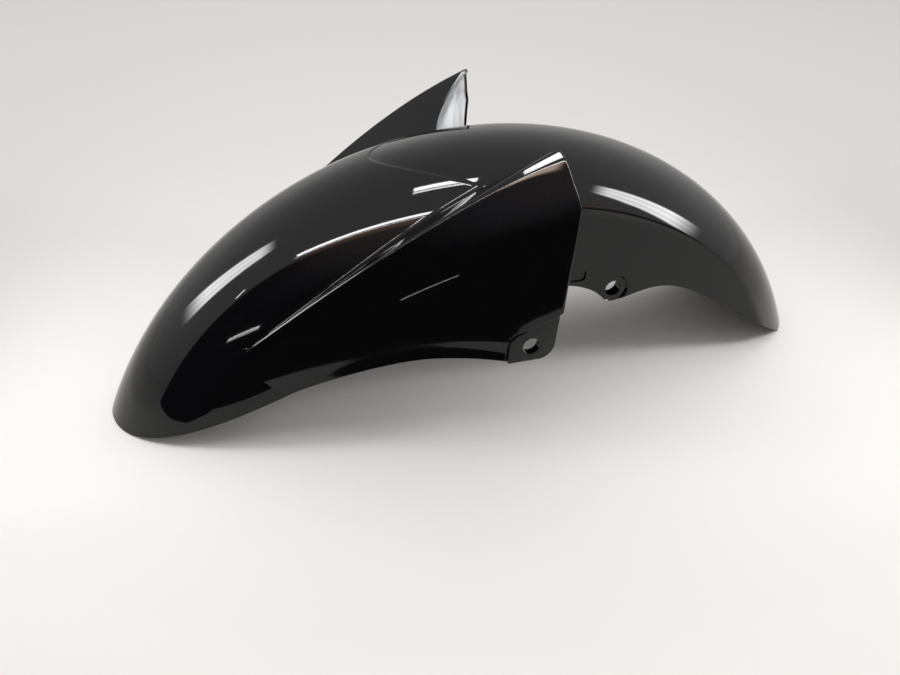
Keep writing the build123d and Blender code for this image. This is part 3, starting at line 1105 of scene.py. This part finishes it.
def glowingCard(name, points, faces):
    # a card that only the gloss mirrors, with its node tree and its shader
    mesh = bpy.data.meshes.new(name)
    mesh.from_pydata(points, [], faces)
    inputs = {"Base Color": (0, 0, 0, 1), "Specular IOR Level": 0, "Emission Strength": 1}
    made, tree, shader = shaded(name, inputs)
    mesh.materials.append(made)
    card = pieceFrom(name, mesh)
    card.visible_camera = card.visible_diffuse = card.visible_shadow = False
    return card, tree, shader


def openFront():
    # outline of the tent's open front, down to the table
    points = []
    for a in np.linspace(0, math.pi, room["steps"]):
        c, s = math.cos(a), math.sin(a)
        grow = (abs(c) ** room["bend"] + s ** room["bend"]) ** (-1 / room["bend"])
        up = room["height"] * s * grow
        if c < 0 or up > room["table"][-1][1]:
            points.append((room["middle"] + room["half"] * c * grow, up))
    return [inTent(right, room["front"], up) for right, up in (*points, *room["table"])]


def dimRoom():
    opening = openFront()
    apron = [inTent(*place, room["apronLift"]) for place in room["apron"]]  # the room before the table's edge
    first = len(opening)
    faces = [list(range(first)), list(range(first, first + len(apron)))]
    card, tree, shader = glowingCard("dimRoom", opening + apron, faces)
    place = node(tree, "ShaderNodeTexCoord", -900, 0).outputs["Object"]
    split = node(tree, "ShaderNodeSeparateXYZ", -700, 0, {"Vector": place})
    inputs = {"Value": split.outputs["Z"], "From Max": room["height"] * mm}
    rise = node(tree, "ShaderNodeMapRange", -500, 0, inputs).outputs["Result"]
    ramps = []
    for k in (0, 1):
        shade = node(tree, "ShaderNodeValToRGB", -300, -250 * k, {"Fac": rise})
        stops = shade.color_ramp.elements
        while len(stops) < len(room["shades"]):
            stops.new(1.0)
        for stop, (height, *colours) in zip(stops, room["shades"]):
            stop.position = height / room["height"]
            stop.color = colours[k]
        ramps.append(shade.outputs["Color"])

    def between(axis, ends):
        start, end = (value * mm for value in ends)
        return ((Flow(split.outputs[axis]) - start) / (end - start)).smooth()

    plain = mix(tree, 0, 0, between("X", room["leftToMiddle"]), *ramps)
    rising = between("Z", room["glowRise"])
    glow = rising * rising * between("X", room["glowLeft"]) * between("X", room["glowRight"])
    feed(shader.inputs["Emission Color"], mix(tree, 200, 0, glow, plain, room["glow"]))


def facingWay(at, shines, lean):
    # local Z points back along the light, as lamps have it
    way = inTent(*shines).normalized()
    up = Vector((0, 0, 1)) if abs(way.z) < 0.5 else inTent(0, 1, 0).normalized()
    turn = Matrix((up.cross(-way), up, -way)).transposed() @ Matrix.Rotation(math.radians(lean), 3, "Z")
    return Matrix.Translation(inTent(*at)) @ turn.to_4x4()


def areaLamp(name, at, size, shines, lean, bright):
    lamp = bpy.data.lights.new(name, "AREA")
    lamp.shape = "RECTANGLE"
    lamp.size, lamp.size_y = (side * mm for side in size)
    lamp.energy = bright * math.pi * lamp.size * lamp.size_y
    holder = pieceFrom(name, lamp)
    holder.matrix_world = facingWay(at, shines, lean)
    holder.visible_camera = False
    return holder


def softPanel(name, at, size, shines, lean, bright):
    turn = facingWay(at, shines, lean)
    half = [side * mm / 2 for side in size]
    corners = [turn @ Vector((sx * half[0], sy * half[1], 0)) for sx, sy in square]
    card, tree, shader = glowingCard(name, corners, [(0, 1, 2, 3)])
    place = node(tree, "ShaderNodeTexCoord", -900, 0).outputs["Object"]
    inputs = {"Vector": place, "Location": turn.translation, "Rotation": turn.to_euler(), "Scale": (*half, 1)}
    local = node(tree, "ShaderNodeMapping", -700, 0, inputs, vector_type="TEXTURE")
    split = node(tree, "ShaderNodeSeparateXYZ", -500, 0, {"Vector": local.outputs["Vector"]})
    x, y = (Flow(split.outputs[k]) for k in "XY")
    sides = ((x.math("ABSOLUTE") * -1.0 + 1.0) / panelFade["sides"]).smooth()
    ends = ((y.math("ABSOLUTE") * -1.0 + 1.0) / panelFade["ends"]).smooth()
    rows = (x * panelFade["rows"]).math("COSINE") * panelFade["ripple"] + (1 - panelFade["ripple"])
    feed(shader.inputs["Emission Color"], sides * ends * rows * bright + tent["walls"][1])


def fillLight():
    lamp = bpy.data.lights.new("coverFill", "SPOT")
    lamp.energy = coverFill["power"]
    lamp.spot_size = math.radians(coverFill["cone"])
    lamp.spot_blend = coverFill["blend"]
    lamp.shadow_soft_size = coverFill["soft"] * mm
    holder = pieceFrom("coverFill", lamp)
    at, to = (Vector(coverFill[k]) * mm for k in ("at", "to"))
    holder.matrix_world = Matrix.Translation(at) @ (to - at).to_track_quat("-Z", "Y").to_matrix().to_4x4()
    holder.visible_camera = holder.visible_glossy = False


def tentLight():
    for name, values in lamps.items():
        areaLamp(name, *values).visible_diffuse = False
    for name, values in panels.items():
        softPanel(name, *values)
    for name, values in washes.items():
        areaLamp(name, *values).visible_glossy = False
    fillLight()
    world = bpy.data.worlds.new("tentWalls")
    world.use_nodes = True
    tree = world.node_tree
    walls = tree.nodes["Background"]
    way = node(tree, "ShaderNodeTexCoord", -900, 200).outputs["Generated"]
    split = node(tree, "ShaderNodeSeparateXYZ", -700, 200, {"Vector": way})
    steep = (Flow(split.outputs["Z"]) / tent["wallRise"]).smooth()
    feed(walls.inputs["Color"], mix(tree, -300, 200, steep, tent["wallFoot"], tent["walls"]))
    ray = node(tree, "ShaderNodeLightPath", -600, 0).outputs["Is Diffuse Ray"]
    feed(walls.inputs["Strength"], Flow(ray) * (tent["spill"] - 1) + 1.0)
    bpy.context.scene.world = world


palePaper()
dimRoom()
tentLight()
print("tent and lamps set")
